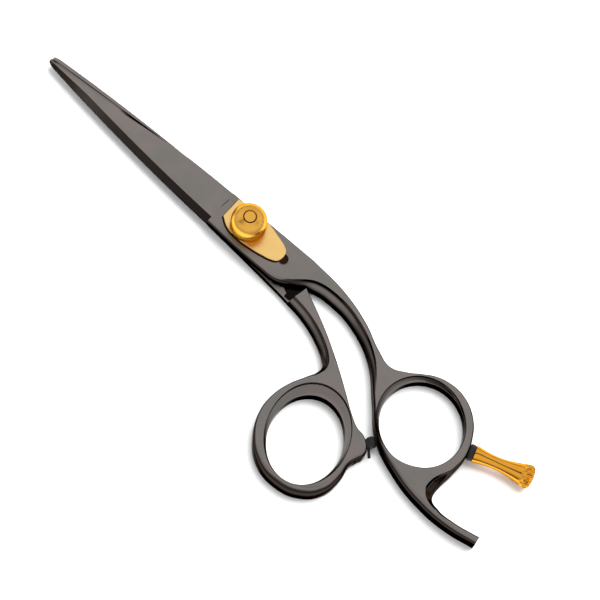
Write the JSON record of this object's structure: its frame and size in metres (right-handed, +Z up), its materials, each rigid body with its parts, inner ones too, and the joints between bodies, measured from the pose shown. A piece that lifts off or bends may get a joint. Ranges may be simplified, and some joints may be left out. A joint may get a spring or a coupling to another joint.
{
  "type": "hair cutting shears",
  "caption": "Offset hair cutting shears with slender straight blades, open finger and thumb rings, a domed tension knob and a screw-on little-finger rest.",
  "frame": {"origin": "on the pivot axis at the underside of the closed shears", "axes": "+X from the pivot to the blade tips, +Y towards the thumb ring, +Z up through the tension knob"},
  "size_m": [0.1711, 0.0533, 0.0132],
  "materials": {
    "forged_steel": "satin-ground tool steel with polished edges and hollows",
    "pivot_steel": "turned and brushed steel",
    "bush_brass": "plain turned brass",
    "glide_plastic": "natural bearing plastic",
    "leaf_gold": "pale gold plate, bright satin",
    "pin_steel": "darkened steel",
    "knob_gold": "gold plate, satin, with a knurled foot",
    "stop_rubber": "moulded black rubber",
    "rest_gold": "gold plate, polished",
    "washer_rubber": "black rubber"
  },
  "bodies": {
    "finger_half": {"finger_blade": "forged_steel", "pivot_screw": "knob_gold", "glide_washer": "glide_plastic", "tension_plate": "leaf_gold", "plate_pin": "pin_steel"},
    "thumb_half": {"thumb_blade": "forged_steel", "pivot_bush": "bush_brass", "stop_bumper": "stop_rubber"},
    "knob": {"tension_knob": "knob_gold"},
    "rest": {"finger_rest": "rest_gold", "finger_rest_stud": "pivot_steel", "finger_rest_washer": "washer_rubber"}
  },
  "joints": [
    {"name": "blade_pivot", "type": "hinge", "parent": "finger_half", "child": "thumb_half", "pos_m": [0, 0, 0.0027], "axis": [0, 0, -1], "range_deg": [0, 120]},
    {"name": "knob_turn", "type": "hinge", "parent": "finger_half", "child": "knob", "pos_m": [0, 0, 0.006], "axis": [0, 0, 1], "range_deg": [-180, 180]},
    {"name": "rest_turn", "type": "hinge", "parent": "finger_half", "child": "rest", "pos_m": [-0.08255, 0.0076, 0.00335], "axis": [-0.9518, -0.3068, 0], "range_deg": [-180, 180]}
  ]
}
